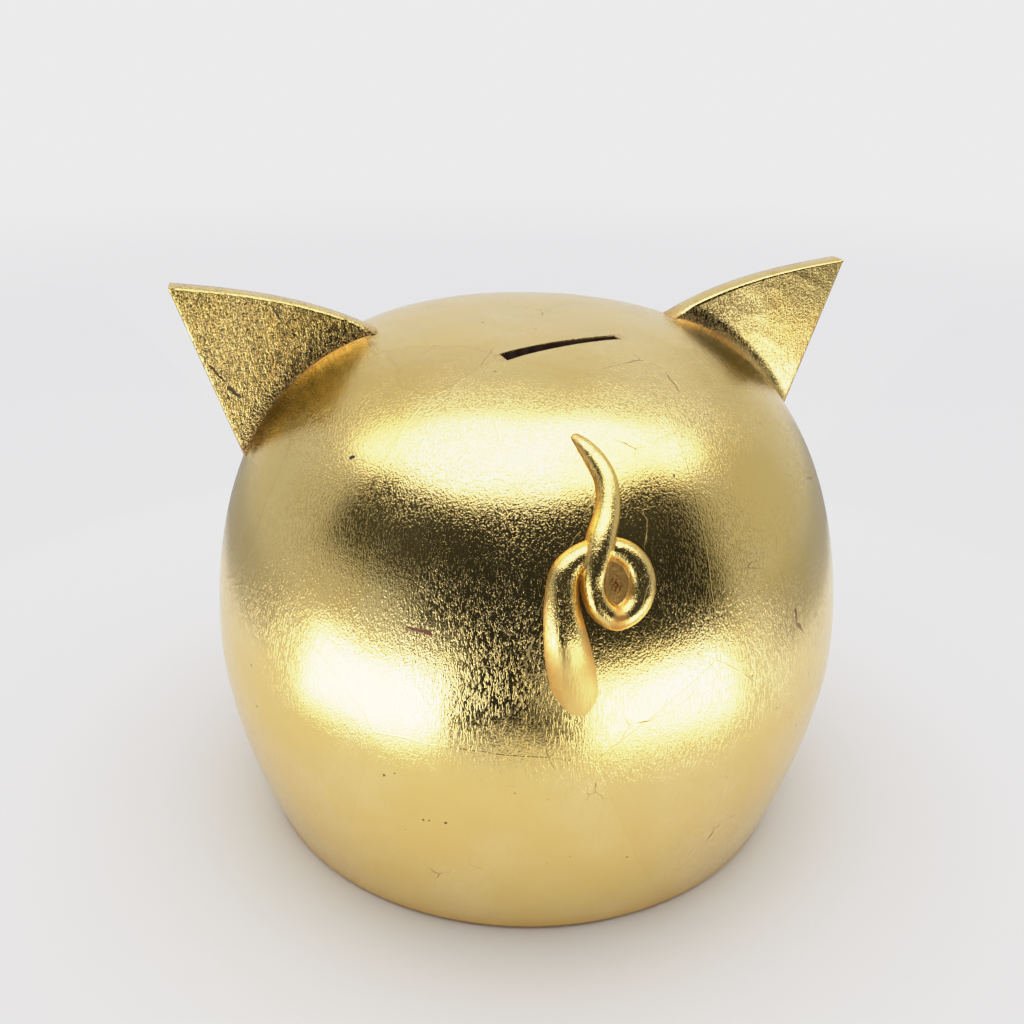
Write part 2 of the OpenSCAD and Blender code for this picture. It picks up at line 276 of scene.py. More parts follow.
class Nodes:
    """A short way to write the node tree of a material or a world."""

    def __init__(self, owner):
        owner.use_nodes = True
        self.owner = owner
        self.tree = owner.node_tree
        self.tree.nodes.clear()

    def add(self, kind, inputs=None, **settings):
        """A new node with its settings and inputs."""
        node = self.tree.nodes.new(kind)
        for key, value in settings.items():
            setattr(node, key, value)
        for key, value in (inputs or {}).items():
            self.put(node.inputs[key], value)
        return node

    def put(self, socket, value):
        """Links a socket's output to an input, or sets a plain value."""
        if isinstance(value, bpy.types.NodeSocket):
            self.tree.links.new(value, socket)
        else:
            socket.default_value = value

    def math(self, operation, a, b=0.0, clamp=False):
        node = self.add("ShaderNodeMath", {0: a, 1: b}, operation=operation, use_clamp=clamp)
        return node.outputs[0]

    def ramp(self, value, low, high, smooth=True):
        """0 below low and 1 above high."""
        node = self.add("ShaderNodeMapRange", {"Value": value, "From Min": low, "From Max": high},
                        interpolation_type="SMOOTHSTEP" if smooth else "LINEAR")
        return node.outputs["Result"]

    def vector(self, operation, a, b=(0, 0, 0), output=0):
        """A vector worked out from two, or its output of another name."""
        node = self.add("ShaderNodeVectorMath", {0: a, 1: b}, operation=operation)
        return node.outputs[output]

    def mix(self, factor, a, b):
        """Colour a mixed with colour b."""
        node = self.add("ShaderNodeMix", data_type="RGBA")
        self.put(node.inputs[0], factor)
        self.put(node.inputs[6], a)
        self.put(node.inputs[7], b)
        return node.outputs[2]

    def mix_value(self, factor, a, b):
        """Number a mixed with number b."""
        node = self.add("ShaderNodeMix", data_type="FLOAT")
        self.put(node.inputs[0], factor)
        self.put(node.inputs[2], a)
        self.put(node.inputs[3], b)
        return node.outputs[0]

    def place(self, turn=(0, 0, 0), stretch=(1, 1, 1)):
        """The object's own coordinates in metres, turned and stretched."""
        coords = self.add("ShaderNodeTexCoord").outputs["Object"]
        inputs = {"Vector": coords, "Rotation": turn, "Scale": stretch}
        return self.add("ShaderNodeMapping", inputs).outputs[0]

    def noise(self, vector, size, detail=2.0, rough=0.5):
        node = self.add("ShaderNodeTexNoise", {"Vector": vector, "Scale": 1 / size, "Detail": detail,
                                               "Roughness": rough})
        return node.outputs["Fac"]

    def cells(self, vector, size, feature="DISTANCE_TO_EDGE", spread=1.0):
        return self.add("ShaderNodeTexVoronoi", {"Vector": vector, "Scale": 1 / size, "Randomness": spread},
                        feature=feature)

    def wobble(self, vector, size, amount):
        """The vector pushed about by noise, so that straight lines wander."""
        noise = self.add("ShaderNodeTexNoise", {"Vector": vector, "Scale": 1 / size, "Detail": 3.0})
        centred = self.vector("SUBTRACT", noise.outputs["Color"], (0.5, 0.5, 0.5))
        scaled = self.add("ShaderNodeVectorMath", {0: centred, "Scale": amount}, operation="SCALE").outputs[0]
        return self.vector("ADD", vector, scaled)

    def stripe(self, vector, start, end, half_width):
        """A ragged streak from start to end."""
        start, end = Vector(start), Vector(end)
        middle, along = (start + end) / 2, (end - start).normalized()
        ragged = self.wobble(vector, 1.1 * MM, 3.2 * half_width)
        offset = self.vector("SUBTRACT", ragged, tuple(middle))
        reach = self.vector("DOT_PRODUCT", offset, tuple(along), "Value")
        distance = self.vector("LENGTH", offset, output="Value")
        squares = self.math("SUBTRACT", self.math("POWER", distance, 2.0), self.math("POWER", reach, 2.0))
        aside = self.math("SQRT", self.math("MAXIMUM", squares, 0.0))
        to_end = self.ramp(self.math("ABSOLUTE", reach), 0.5 * (end - start).length, 0.0, smooth=False)
        taper = self.math("MULTIPLY", to_end, 2.0, clamp=True)
        return self.math("LESS_THAN", aside, self.math("MULTIPLY", taper, half_width))

    def mask(self, name):
        """A number that set_mask stored, or 0 on a mesh without it."""
        return self.add("ShaderNodeAttribute", attribute_name=name).outputs["Fac"]

    def bump(self, height, distance, under=None):
        """A normal tilted by height times distance, on top of the normal under it."""
        inputs = {"Height": height, "Distance": distance, "Strength": 1.0}
        if under is not None:
            inputs["Normal"] = under
        return self.add("ShaderNodeBump", inputs).outputs[0]

    def output(self, socket, kind="ShaderNodeOutputMaterial"):
        """Ends the tree with socket and returns the material or world."""
        self.tree.links.new(socket, self.add(kind).inputs[0])
        return self.owner

    def finish(self, **inputs):
        """Ends the tree with a principled shader."""
        shader = self.add("ShaderNodeBsdfPrincipled", {k.replace("_", " "): v for k, v in inputs.items()})
        return self.output(shader.outputs[0])


def material_nodes(name):
    """The empty tree of a new material."""
    return Nodes(bpy.data.materials.new(name))


GOLD = (0.87, 0.65, 0.22, 1)
GOLD_DEEP = (0.72, 0.45, 0.13, 1)
GOLD_PALE = (0.91, 0.72, 0.31, 1)
BOLE = (0.15, 0.035, 0.014, 1)
# bole colour that glows through thin leaf, and also the colour of painted shade in crevices, at roots and
# along the foot
BOLE_GLOW_AND_SHADE = (0.62, 0.29, 0.055, 1)
# dark ground seen in flecks, and also the colour of painted shade and a painted dark reflection
DARK_GROUND_AND_SHADE = (0.05, 0.04, 0.02, 1)
GOUGE = (0.10, 0.065, 0.025, 1)
RUBBED = (0.22, 0.06, 0.02, 1)
BLACKENED = (0.02, 0.02, 0.02, 1)
LEAF_SHEET = 85 * MM


def gold_leaf(name, mottle=0.0, rough=0.09, speckle=1.0, flecks=0.0, marks=()):
    """Burnished imitation leaf over red-brown bole: grain, brush strokes, laps, cracks and pinholes, with
    painted shade in crevices and hollows.

    Mottle is how much the bole glows through and flecks how much dark ground shows, both from 0 to 1.
    Rough is the lowest roughness, and speckle scales the depth of the grain.
    Marks are rubbed places as (start, end, half width, colour), in metres.
    """
    n = material_nodes(name)
    here = n.place()
    # leaf sheets: a tone for each and a fine ridge where they lap
    wandering = n.wobble(here, 40 * MM, 6 * MM)
    sheets = n.cells(wandering, LEAF_SHEET, "F1", 0.8)
    sheet_tone = n.add("ShaderNodeSeparateColor", {0: sheets.outputs["Color"]}).outputs[0]
    lap = n.cells(wandering, LEAF_SHEET, spread=0.8).outputs["Distance"]
    lap_line = n.ramp(lap, 0.0035, 0.0)
    # short hair-fine strokes from the burnishing brush, in three directions
    strokes = []
    for turn in ((0.3, 0.5, 0.9), (1.2, 0.2, 2.1), (0.1, 1.1, 0.4)):
        along = n.place(turn, (1, 1, 0.16))
        strokes.append(n.ramp(n.noise(along, 0.6 * MM, 2.0, 0.5), 0.56, 0.68))
    stroke = n.math("MAXIMUM", n.math("MAXIMUM", strokes[0], strokes[1]), strokes[2])
    brushed = n.ramp(n.noise(here, 40 * MM, 2.0), 0.35, 0.65)
    stroke = n.math("MULTIPLY", stroke, n.mix_value(brushed, 0.35, 1.0))
    sparkle = n.noise(here, 0.62 * MM, 2.0, 0.65)
    orange_peel = n.noise(here, 2.6 * MM, 3.0, 0.6)
    # where the leaf is broken and the bole shows
    where = n.ramp(n.noise(here, 45 * MM, 2.0), 0.52, 0.64)
    torn = n.cells(n.wobble(here, 7 * MM, 4 * MM), 26 * MM).outputs["Distance"]
    crack_width = n.math("MULTIPLY", n.ramp(n.noise(here, 9 * MM, 2.0), 0.45, 0.75), 0.010)
    crack = n.math("MULTIPLY", n.math("LESS_THAN", torn, crack_width), where)
    pits = n.cells(n.wobble(here, 2 * MM, 1.2 * MM), 5 * MM, "F1").outputs["Distance"]
    pit_size = n.math("MULTIPLY", n.ramp(n.noise(here, 13 * MM, 3.0), 0.47, 0.74), 0.10)
    pit = n.math("LESS_THAN", pits, pit_size)
    worn = n.math("MULTIPLY", n.mask("wear"), n.ramp(n.noise(here, 1.6 * MM, 4.0, 0.65), 0.38, 0.56))
    broken = n.math("MAXIMUM", n.math("MAXIMUM", crack, pit), worn)
    # mottling: thin leaf with the bole glowing through
    blotch = n.ramp(n.noise(n.wobble(here, 12 * MM, 8 * MM), 15 * MM, 5.0, 0.6), 0.48, 0.68)
    thin = n.math("ADD", n.math("MULTIPLY", blotch, mottle),
                  n.math("MULTIPLY", lap_line, 0.10), clamp=True)
    tone = n.mix(n.ramp(n.noise(here, 38 * MM, 4.0, 0.55), 0.35, 0.68), GOLD, GOLD_PALE)
    tone = n.mix(n.math("MULTIPLY", sheet_tone, 0.20), tone, GOLD_DEEP)
    tone = n.mix(n.math("MULTIPLY", stroke, 0.12), tone, GOLD_DEEP)
    tone = n.mix(thin, tone, BOLE_GLOW_AND_SHADE)
    # painted shade: crevices, the roots of ears, snout, eyes and tail, and the edge near the table darkened
    # towards the bole colour
    tone = n.mix(n.mask("crevice_shade"), tone, BOLE_GLOW_AND_SHADE)
    # painted shade and a painted dark reflection, broken up by the grain
    shade_spots = n.math("MULTIPLY", n.mask("painted_shade"), n.ramp(sparkle, 0.36, 0.60))
    tone = n.mix(shade_spots, tone, DARK_GROUND_AND_SHADE)
    fleck = n.ramp(n.noise(here, 1.3 * MM, 5.0, 0.8), 0.535, 0.63)
    patchy = n.ramp(n.noise(n.wobble(here, 6 * MM, 5 * MM), 9 * MM, 2.0), 0.42, 0.58)
    fleck = n.math("MULTIPLY", fleck, n.mix_value(patchy, 0.15, 1.0))
    tone = n.mix(n.math("MULTIPLY", fleck, flecks), tone, DARK_GROUND_AND_SHADE)
    tone = n.mix(n.math("MULTIPLY", broken, 0.85), tone, BOLE)
    # rubbed marks, which are as dull as the bole
    dull = broken
    for start, end, half_width, colour in marks:
        mark = n.stripe(here, start, end, half_width)
        tone = n.mix(mark, tone, colour)
        dull = n.math("MAXIMUM", dull, mark)
    roughness = rough
    for part, amount in ((n.noise(here, 24 * MM, 5.0, 0.6), 0.07), (stroke, 0.05), (thin, 0.10),
                         (n.mask("matte"), 0.34), (n.mask("crevice_shade"), 0.28)):
        roughness = n.math("ADD", roughness, n.math("MULTIPLY", part, amount))
    roughness = n.mix_value(dull, roughness, 0.62)
    metal = n.math("SUBTRACT", 1.0, n.math("MULTIPLY", dull, 0.9))
    height = n.math("MULTIPLY", sparkle, n.mix_value(n.mask("smooth"), speckle, 0.3 * speckle))
    relief = n.bump(orange_peel, 0.018 * MM)
    relief = n.bump(height, 0.058 * MM, relief)
    relief = n.bump(stroke, 0.046 * MM * speckle, relief)
    relief = n.bump(lap_line, 0.025 * MM, relief)
    relief = n.bump(n.math("SUBTRACT", 1.0, dull), 0.040 * MM, relief)
    return n.finish(Base_Color=tone, Metallic=metal, Roughness=roughness, Normal=relief)


def lacquered_wood():
    """The red-brown inside of the bowls: turned rings under brushed lacquer."""
    n = material_nodes("lacquered_inside")
    rings = n.add("ShaderNodeTexWave", {"Vector": n.wobble(n.place(), 20 * MM, 2 * MM), "Scale": 120.0,
                                        "Distortion": 1.5, "Detail": 3.0},
                  wave_type="RINGS", rings_direction="Z").outputs["Fac"]
    tone = n.mix(rings, (0.030, 0.012, 0.007, 1), (0.062, 0.026, 0.014, 1))
    relief = n.bump(rings, 0.08 * MM, n.bump(n.noise(n.place(), 1.5 * MM, 4.0), 0.05 * MM))
    roughness = n.math("ADD", 0.55, n.math("MULTIPLY", n.noise(n.place(), 8 * MM, 3.0), 0.25))
    return n.finish(Base_Color=tone, Roughness=roughness, Specular_IOR_Level=0.25, Normal=relief)


def bare_wood():
    """Straight-grained dowel stock."""
    n = material_nodes("dowel_wood")
    grain = n.noise(n.place((0, 0, 0), (1, 1, 0.12)), 1.2 * MM, 5.0, 0.6)
    tone = n.mix(grain, (0.36, 0.21, 0.10, 1), (0.62, 0.43, 0.25, 1))
    return n.finish(Base_Color=tone, Roughness=n.math("ADD", 0.5, n.math("MULTIPLY", grain, 0.3)),
                    Normal=n.bump(grain, 0.06 * MM))


def moulded_rubber():
    """Dull black rubber with a faint bloom and the fine pitting of a mould."""
    n = material_nodes("stopper_rubber")
    bloom = n.noise(n.place(), 9 * MM, 5.0, 0.6)
    pitting = n.noise(n.place(), 0.5 * MM, 3.0, 0.6)
    tone = n.mix(n.ramp(bloom, 0.4, 0.75), (0.018, 0.018, 0.019, 1), (0.050, 0.048, 0.045, 1))
    roughness = n.math("ADD", 0.55, n.math("MULTIPLY", bloom, 0.25))
    return n.finish(Base_Color=tone, Roughness=roughness, Normal=n.bump(pitting, 0.05 * MM))


def on_ball(turn, z):
    """A point on the ball's surface: degrees about Z from the tail's side towards +X, and height."""
    a = math.radians(turn)
    r = float(ball_radius(np.array([z]))[0])
    return r * math.sin(a), r * math.cos(a), z


# rubbed marks: start, end, half width, colour
SCRATCHES = (
    (on_ball(34.1, 106.5 * MM), on_ball(28.5, 105.4 * MM), 0.5 * MM, RUBBED),
    (on_ball(53.1, 141.8 * MM), on_ball(51.4, 142.7 * MM), 0.5 * MM, BLACKENED),
)
EAR_FACE_Y = ear_high.y
GOUGES = (
    ((100.5 * MM, EAR_FACE_Y, 156.5 * MM), (95 * MM, EAR_FACE_Y, 149 * MM), 0.4 * MM, GOUGE),
    ((95.5 * MM, EAR_FACE_Y, 149 * MM), (91 * MM, EAR_FACE_Y, 144 * MM), 0.55 * MM, GOUGE),
    ((80.5 * MM, EAR_FACE_Y, 173 * MM), (77 * MM, EAR_FACE_Y, 167 * MM), 0.3 * MM, GOUGE),
)

MATERIALS = {
    "shell": gold_leaf("gilded_shell", marks=SCRATCHES),
    "trim": gold_leaf("gilded_trim", mottle=0.08, rough=0.15, speckle=1.5),
    "ear_right": gold_leaf("gilded_ear_right", mottle=0.10, speckle=3.4, flecks=0.85, marks=GOUGES),
    "ear_left": gold_leaf("gilded_ear_left", mottle=0.45, speckle=1.0, flecks=0.15),
    "inside": lacquered_wood(),
    "wood": bare_wood(),
    "rubber": moulded_rubber(),
}


def paint(obj, *names):
    """Gives obj these materials, the first for all its faces."""
    obj.data.materials.clear()
    for name in names:
        obj.data.materials.append(MATERIALS[name])


# ---- bowls ----

COLUMNS = 640
STEP = 1.0 * MM
INNER_SCALE = (BALL_R - WALL) / BALL_R


def inner_line(z_from, z_to, step):
    """The inside of the wall, the ball's outline drawn in about the widest line."""
    ends = [WAIST_Z + (z - WAIST_Z) / INNER_SCALE for z in (z_from, z_to)]
    line = outline(*ends, step)
    line = (line - [0, WAIST_Z]) * INNER_SCALE + [0, WAIST_Z]
    return line[::-1]


def push_out(points, height):
    """Moves points of the ball's surface outwards by height, square to it."""
    eps = 0.2 * MM
    r = np.maximum(np.hypot(points[:, 0], points[:, 1]), 1e-9)
    z = points[:, 2]
    slope = (ball_radius(np.minimum(z + eps, WAIST_Z + CROWN_H - 1e-7)) - ball_radius(z - eps)) / (2 * eps)
    slope = np.clip(slope, -60, 5)
    size = np.hypot(1, slope)
    out = np.column_stack([points[:, 0] / r / size, points[:, 1] / r / size, -slope / size])
    return points + out * height[:, None]


def shell(name, profile):
    """A turned bowl whose outer side is uneven and carries the filler at the ears' roots."""
    verts, faces = lathe(profile, COLUMNS)
    off_ball = np.abs(np.hypot(verts[:, 0], verts[:, 1]) - ball_radius(verts[:, 2]))
    outer = (off_ball < 0.5 * MM) & (verts[:, 2] > FOOT_R - 1e-6)
    at = verts[outer]
    fade = np.clip((at[:, 2] - FOOT_R) / FOOT_FADE, 0, 1)
    verts[outer] = push_out(at, uneven(at) * fade + fillet_height(at))
    return new_object(name, verts, faces)


def slot_cutter():
    """A hand-sawn slot: ends not quite square, sides not quite parallel, and a mouth that rounds over."""
    side_points, end_points = 60, 5
    left, right = np.full(end_points, -0.5), np.full(end_points, 0.5)
    there = np.linspace(-0.5, 0.5, side_points)
    along = np.concatenate([there, right, there[::-1], left]) * SLOT_L
    half = 0.5 * SLOT_W
    end = np.linspace(-half, half, end_points + 2)[1:-1]
    across = np.concatenate([np.full(side_points, -half), end, np.full(side_points, half), end[::-1]])
    bow = -SLOT_BOW * (1 - (2 * along / SLOT_L) ** 2)
    taper = np.interp(along, [-0.5 * SLOT_L, 0.5 * SLOT_L], [SLOT_NARROW, 1.0])
    rng = np.random.default_rng(SEED + 2)
    ragged = rng.normal(0, 0.05 * MM, len(along))
    c, s = math.cos(SLOT_TURN), math.sin(SLOT_TURN)
    rings = []
    for depth, spread in SLOT_MOUTH:
        a = along + np.sign(along) * spread * MM * (np.abs(along) > 0.499 * SLOT_L)
        b = (across + ragged) * taper + bow + np.sign(across) * spread * MM * (np.abs(across) > 0.99 * half)
        x = SLOT_AT[0] + a * c - b * s
        y = SLOT_AT[1] + a * s + b * c
        rings.append(np.column_stack([x, y, crown_height(np.hypot(x, y)) - depth * MM]))
    return new_object("slot_cutter", np.vstack(rings), loft_faces(len(rings), len(along)), smooth=False)


def upper_shell():
    """The crown with its coin slot, glued over the lower bowl's rebate."""
    outer = outline(WAIST_Z, WAIST_Z + CROWN_H, STEP)
    inner = inner_line(WAIST_Z + REBATE_H, WAIST_Z + INNER_SCALE * CROWN_H, 4 * MM)
    rebate_r = BALL_R - 0.5 * WALL
    profile = np.vstack([outer, inner, [[rebate_r, WAIST_Z + REBATE_H], [rebate_r, WAIST_Z]]])
    obj = shell("upper_shell_gilded", profile)
    cut(obj, slot_cutter())
    co = coordinates(obj)
    along, across = slot_frame(co)
    past = np.abs(np.abs(along) - 0.5 * SLOT_L)
    beside = np.maximum(np.abs(across) - 0.35 * SLOT_W, 0)
    near = np.clip(1 - np.hypot(past * 0.5, beside) / (1.5 * MM), 0, 1)
    near = np.where(co[:, 2] > WAIST_Z + 0.7 * CROWN_H, near, 0)
    set_mask(obj, "wear", near)
    # painted shade: the filler round the ears' roots darkened towards the bole colour
    set_mask(obj, "crevice_shade", np.clip((fillet_height(co) - 0.3 * MM) / (0.9 * MM), 0, 1) * 0.8)
    paint(obj, "shell", "inside")
    inside_from_outline(obj, co)
    sharpen(obj, 40)
    return obj


def inside_from_outline(obj, co):
    """Gives the faces that lie well under the outer surface the inside's material."""
    depth = ball_radius(co[:, 2]) - np.hypot(co[:, 0], co[:, 1])
    top = crown_height(np.hypot(co[:, 0], co[:, 1])) - co[:, 2]
    deep = (np.minimum(depth, top) > 0.55 * MM) & (co[:, 2] > FOOT_R)
    for face in obj.data.polygons:
        if all(deep[v] for v in face.vertices):
            face.material_index = 1


def lower_shell():
    """The keel, with a flat foot, a recess for the stopper and a finger notch beside it."""
    foot_base = ball_radius(np.array([FOOT_R]))[0] - FOOT_R
    foot = [[foot_base + FOOT_R * math.cos(a), FOOT_R + FOOT_R * math.sin(a)]
            for a in np.linspace(-0.5 * math.pi, 0, 9)[:-1]]
    under = [[r, 0] for r in np.linspace(RECESS_R, foot_base, 24)[:-1]]
    outer = outline(FOOT_R, WAIST_Z, STEP)
    rebate_r, inner_r = BALL_R - 0.5 * WALL, BALL_R - WALL
    inner = inner_line(FLOOR_Z, WAIST_Z, 4 * MM)
    bottom = [[r, FLOOR_Z] for r in np.linspace(inner[-1][0], HOLE_R, 10)[1:]]
    profile = np.vstack([under, foot, outer,
                         [[rebate_r, WAIST_Z], [rebate_r, WAIST_Z + REBATE_H], [inner_r, WAIST_Z + REBATE_H]],
                         inner, bottom, [[HOLE_R, RECESS_H], [RECESS_R, RECESS_H]]])
    obj = shell("lower_shell_gilded", profile)
    notch_profile = [[0, -MM], [NOTCH_R, -MM], [NOTCH_R, RECESS_H], [0, RECESS_H]]
    notch_verts, notch_faces = lathe(notch_profile, 48, closed=False)
    cut(obj, new_object("notch_cutter", notch_verts + [RECESS_R, 0, 0], notch_faces, smooth=False))
    co = coordinates(obj)
    radius = np.hypot(co[:, 0], co[:, 1])
    under_mask = (co[:, 2] < 0.5 * MM) & (radius < foot_base + MM)
    rubbed = np.clip((foot_base - radius) / (14 * MM), 0, 1) * 0.98 + 0.02
    set_mask(obj, "wear", np.where(under_mask, rubbed, 0))
    # painted shade: the outside darkened towards the foot, where it meets the table
    low_edge = np.clip(1 - co[:, 2] / (7 * MM), 0, 1)
    set_mask(obj, "crevice_shade", np.where(radius > 0.8 * foot_base, 0.55 * low_edge ** 1.5, 0))
    paint(obj, "shell", "inside")
    inside_from_outline(obj, co)
    for face in obj.data.polygons:
        c = face.center
        if 0.1 * MM < c.z < 5 * MM and math.hypot(c.x, c.y) < RECESS_R + NOTCH_R + 0.5 * MM:
            face.material_index = 1
    sharpen(obj, 40)
    return obj


# ---- ears ----

EAR_SINK = 5 * MM  # how far the root goes into the ball's wall
EAR_ROUND = 0.9 * MM
EAR_ROWS, EAR_ACROSS, EAR_CORNER = 90, 56, 5
EAR_LAST = 0.985  # where the loft stops short of the tip, which leaves it blunt
TOP_CORNER = np.array([62, 164]) * MM


def ear_rows():
    """The upper and lower edge points (x, z) of the ear's board, row by row from its root to its tip."""
    top, low = ear_root(1)
    root_top, root_low = top[[0, 2]], low[[0, 2]]
    inward = np.array([root_low[1] - root_top[1], root_top[0] - root_low[0]])
    inward = inward / np.linalg.norm(inward)
    across = EAR_TIP - root_top
    if inward @ across > 0:
        inward = -inward
    up = np.array([-across[1], across[0]]) / np.linalg.norm(across)
    if up[1] < 0:
        up = -up
    rows = []
    for i in range(EAR_ROWS + 1):
        reach = min(1 - (1 - i / EAR_ROWS) ** 1.25, EAR_LAST)
        bulge = 4 * reach * (1 - reach) * EAR_BULGE * (1.25 - 0.5 * reach)
        a = root_top + reach * across + bulge * up
        b = root_low + reach * (EAR_TIP - root_low)
        if i == 0:
            a, b = a + inward * EAR_SINK, b + inward * EAR_SINK
        rows.append((a, b))
    return rows


def board_section(width):
    """Points round a slab's section as (distance from its upper edge, place across its thickness)."""
    corner = min(EAR_ROUND, 0.45 * width)
    half = 0.5 * EAR_T
    flat = [corner + (width - 2 * corner) * k / (EAR_ACROSS - 1) for k in range(EAR_ACROSS)]
    turn = [math.pi * (k + 1) / (EAR_CORNER + 1) for k in range(EAR_CORNER)]
    near_face = [(d, half) for d in flat]
    low_edge = [(width - corner + corner * math.sin(t), squared(math.cos(t)) * half) for t in turn]
    far_face = [(d, -half) for d in flat[::-1]]
    high_edge = [(corner - corner * math.sin(t), -squared(math.cos(t)) * half) for t in turn]
    return near_face + low_edge + far_face + high_edge


def ear(name, side, gouges, seed, root_shade, top_shade):
    """A slab ear with soft corners and uneven faces, lofted from its root to its tip.

    Gouges scales the dents in its faces. The shade amounts scale the painted shade at the root and the
    painted dark reflection at the upper corner, both on the +Y face only.
    """
    verts = []
    for a, b in ear_rows():
        width = np.linalg.norm(b - a)
        along = (b - a) / width
        for d, y in board_section(width):
            x, z = a + along * d
            verts.append((x, EAR_Y + y, z))
    points = 2 * (EAR_ACROSS + EAR_CORNER)
    verts = np.array(verts)
    on_face = np.abs(verts[:, 1] - EAR_Y) > 0.49 * EAR_T
    dents = wave_height(verts, waves(26, 7 * MM, 22 * MM, 0.05 * MM * gouges, seed))
    outwards = np.sign(verts[:, 1] - EAR_Y)
    filler = ROOT_FILLER * np.clip(1 - above_ball(verts) / ROOT_FILLER_H, 0, 1) ** 2
    verts[:, 1] += np.where(on_face, outwards * (filler - np.abs(dents)), 0)
    verts[:, 0] *= side
    obj = new_object(name, verts, loft_faces(EAR_ROWS + 1, points))
    co = coordinates(obj)
    lift = above_ball(co)
    # painted shade on the ear near the ball
    set_mask(obj, "crevice_shade", 0.5 * np.clip(1 - lift / (5 * MM), 0, 1))
    set_mask(obj, "wear", 0.2 * np.clip(1 - lift / (4 * MM), 0, 1))
    set_mask(obj, "smooth", np.where(np.abs(co[:, 1] - EAR_Y) < 0.485 * EAR_T, 1, 0))
    # painted shade at the root and a painted dark reflection at the upper corner, on the +Y face only
    from_top = np.hypot(np.abs(co[:, 0]) - TOP_CORNER[0], co[:, 2] - TOP_CORNER[1])
    near_top = np.clip(1 - from_top / (17 * MM), 0, 1) * top_shade
    near_root = np.clip(1 - (lift - 1.5 * MM) / (7 * MM), 0, 1) * root_shade
    back_face = co[:, 1] > EAR_Y + 0.49 * EAR_T
    set_mask(obj, "painted_shade", np.where(back_face, np.maximum(near_root, near_top), 0))
    sharpen(obj, 50)
    return obj


def above_ball(points):
    """Rough height of points over the ball's surface, 0 inside it."""
    radius = np.hypot(points[:, 0], points[:, 1])
    beside = np.maximum(radius - ball_radius(points[:, 2]), 0)
    over = np.maximum(points[:, 2] - crown_height(radius), 0)
    nearest = np.minimum(np.where(beside > 0, beside, 1), np.where(over > 0, over, 1))
    return nearest * ((beside > 0) | (over > 0))


def squared(c):
    """A rounded-square profile across the board's edge, from 1 to -1."""
    return math.copysign(abs(c) ** 0.35, c)


# ---- tail ----

# centre lines in millimetres: [x, height, height above the ball, strand radius]
TAIL_BACK = [
    [13.5, 80, -13, 11], [13.6, 86, -11.4, 11], [14, 92, -9.2, 10], [14.8, 98.5, -7, 8.8],
    [15.8, 107, -3.2, 6.2], [16.2, 115.5, -1.4, 4.7], [14.8, 122.2, -0.5, 3.9], [10.5, 126.1, 0, 3.1],
    [5, 127.6, -0.1, 2.8], [-0.5, 126.8, -0.1, 3.1], [-4.4, 123.3, -0.3, 3.6], [-5.5, 117.8, -0.5, 3.8],
    [-2.9, 113, -0.3, 3.6], [2, 110.8, 0, 3.2]]
TAIL_FRONT = [
    [2, 110.8, 0, 3.2], [6.3, 113.7, 0.5, 3], [7.8, 118.7, 1.1, 2.9], [7, 124, 1.8, 3.2],
    [4.8, 129.4, 1.6, 3.4], [2.2, 134.8, 0.8, 3.2], [1, 139.4, 0.6, 3], [1.1, 143.3, 0.3, 3],
    [2.8, 147, 0, 2.8], [4.8, 149.6, -0.3, 2.2], [6.4, 151.2, -0.8, 1.5]]


SPAN_POINTS = 14  # points along the strand for each span of the lists
LOOP_AT, LOOP_HALF = np.array([1.6, 118.9]) * MM, np.array([3.3, 4.9]) * MM  # middle and half size (x, z)
LOOP_FILLER = 0.5 * MM
ROOT_X, ROOT_SINK = 14 * MM, 1.6 * MM
SUNK = -0.35 * MM  # height the relief's skirt falls to, just under the ball's surface
TAIL_BACK_DEPTH = 1.6 * MM


def spline(points, per_span):
    """Catmull-Rom curve through the points."""
    p = np.array(points, float)
    p = np.vstack([p[0], p, p[-1]])
    out = []
    for i in range(1, len(p) - 2):
        for t in np.linspace(0, 1, per_span, endpoint=False):
            out.append(0.5 * (2 * p[i] + t * (p[i + 1] - p[i - 1])
                              + t * t * (2 * p[i - 1] - 5 * p[i] + 4 * p[i + 1] - p[i + 2])
                              + t ** 3 * (3 * p[i] - p[i - 1] - 3 * p[i + 1] + p[i + 2])))
    out.append(p[-1])
    return np.array(out)


def strand_height(surface, rows):
    """Height of a round strand above the ball at each surface point."""
    x, z = rows[:, 0] * MM, rows[:, 1] * MM
    centre = np.column_stack([x, np.sqrt(ball_radius(z) ** 2 - x ** 2), z])
    best = np.full(len(surface), -1.0)
    for k in range(len(rows)):
        lift, radius = rows[k, 2] * MM, rows[k, 3] * MM
        off = np.linalg.norm(surface - centre[k], axis=1)
        inside = np.sqrt(np.maximum(radius ** 2 - off ** 2, 0))
        wall = -3.5 * np.maximum(off - 0.985 * radius, 0)
        best = np.maximum(best, lift + inside + wall)
    return best


def soft_max(a, b, soft):
    """The larger of two heights, with a fillet of about soft between them."""
    blend = np.clip(0.5 + 0.5 * (a - b) / soft, 0, 1)
    return b * (1 - blend) + a * blend + soft * blend * (1 - blend)


def grid_solid(name, top, bottom, keep):
    """A closed solid between two grids of points, over the cells whose four corners are kept.

    Returns the object and the indices of the points used, top ones first.
    """
    columns = keep.shape[1]
    cells = keep[:-1, :-1] & keep[1:, :-1] & keep[:-1, 1:] & keep[1:, 1:]
    edges, faces = {}, []
    below = len(top)
    for i, j in np.argwhere(cells):
        a = i * columns + j
        quad = (a, a + 1, a + columns + 1, a + columns)
        faces.append(quad)
        faces.append(tuple(v + below for v in quad[::-1]))
        for p, q in zip(quad, quad[1:] + quad[:1]):
            edges[(p, q)] = True
    for p, q in edges:
        if (q, p) not in edges:
            faces.append((q, p, p + below, q + below))
    used = sorted({v for f in faces for v in f})
    number = {v: k for k, v in enumerate(used)}
    verts = np.vstack([top, bottom])[used]
    return new_object(name, verts, [[number[v] for v in f] for f in faces]), used


